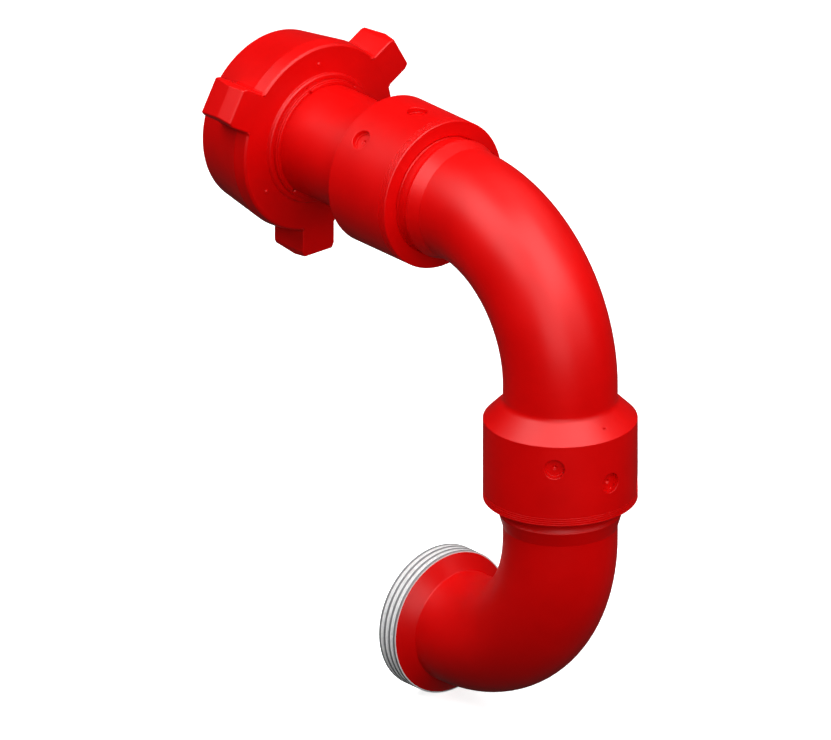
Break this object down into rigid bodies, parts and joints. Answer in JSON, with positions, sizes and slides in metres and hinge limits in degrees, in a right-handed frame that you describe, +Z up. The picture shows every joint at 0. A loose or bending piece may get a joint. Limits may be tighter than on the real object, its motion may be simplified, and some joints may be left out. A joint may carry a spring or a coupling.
{
  "type": "high-pressure swivel joint",
  "caption": "Two long-sweep elbows joined by ball-race swivels, with a lugged wing nut on the inlet and a coarse male thread on the outlet.",
  "frame": {"origin": "middle of the union nose's flat face, where the flow bore opens into the wing nut", "axes": "+X with the flow from the inlet to the upper swivel, +Z up, away from the lower elbow, -X is the way both ends face"},
  "size_m": [0.4649, 0.2126, 0.5651],
  "materials": {
    "red_enamel": "glossy sprayed enamel on forged steel",
    "ball_steel": "polished",
    "seal_rubber": "moulded",
    "seal_brass": "turned"
  },
  "bodies": {
    "inlet": {"union_sub": "red_enamel", "upper_ball_plug_1": "red_enamel", "upper_ball_plug_2": "red_enamel", "upper_ball_plug_3": "red_enamel", "upper_plug_rings": "red_enamel", "upper_plug_seals": "seal_rubber", "upper_pressure_seal": "seal_rubber", "upper_backup_ring": "seal_brass", "upper_dust_seal": "seal_rubber"},
    "retainer": {"nut_segment_1": "red_enamel", "nut_segment_2": "red_enamel", "nut_segment_3": "red_enamel", "segment_snap_ring": "red_enamel"},
    "nut": {"wing_nut": "red_enamel"},
    "upper": {"upper_elbow": "red_enamel", "lower_ball_plug_1": "red_enamel", "lower_ball_plug_2": "red_enamel", "lower_ball_plug_3": "red_enamel", "lower_plug_rings": "red_enamel", "lower_plug_seals": "seal_rubber", "lower_pressure_seal": "seal_rubber", "lower_backup_ring": "seal_brass", "lower_dust_seal": "seal_rubber"},
    "upper_balls": {"upper_ball_row_1": "ball_steel", "upper_ball_row_2": "ball_steel", "upper_ball_row_3": "ball_steel"},
    "lower": {"lower_elbow": "red_enamel", "outlet_seal_ring": "seal_rubber"},
    "lower_balls": {"lower_ball_row_1": "ball_steel", "lower_ball_row_2": "ball_steel", "lower_ball_row_3": "ball_steel"}
  },
  "joints": [
    {"name": "upper_swivel", "type": "hinge", "parent": "inlet", "child": "upper", "pos_m": [0.1665, 0, 0], "axis": [1, 0, 0], "continuous": true},
    {"name": "lower_swivel", "type": "hinge", "parent": "upper", "child": "lower", "pos_m": [0.3622, 0, -0.2047], "axis": [0, 0, 1], "continuous": true},
    {"name": "upper_ball_travel", "type": "hinge", "parent": "inlet", "child": "upper_balls", "pos_m": [0.1665, 0, 0], "axis": [1, 0, 0], "continuous": true},
    {"name": "lower_ball_travel", "type": "hinge", "parent": "upper", "child": "lower_balls", "pos_m": [0.3622, 0, -0.2047], "axis": [0, 0, 1], "continuous": true},
    {"name": "nut_spin", "type": "hinge", "parent": "inlet", "child": "retainer", "pos_m": [0.022, 0, 0], "axis": [1, 0, 0], "continuous": true},
    {"name": "nut_slide", "type": "slide", "parent": "retainer", "child": "nut", "axis": [1, 0, 0], "range_m": [0, 0.0895]}
  ],
  "couplings": [
    {"joint": "upper_ball_travel", "follows": "upper_swivel", "ratio": 0.458},
    {"joint": "lower_ball_travel", "follows": "lower_swivel", "ratio": 0.458}
  ]
}
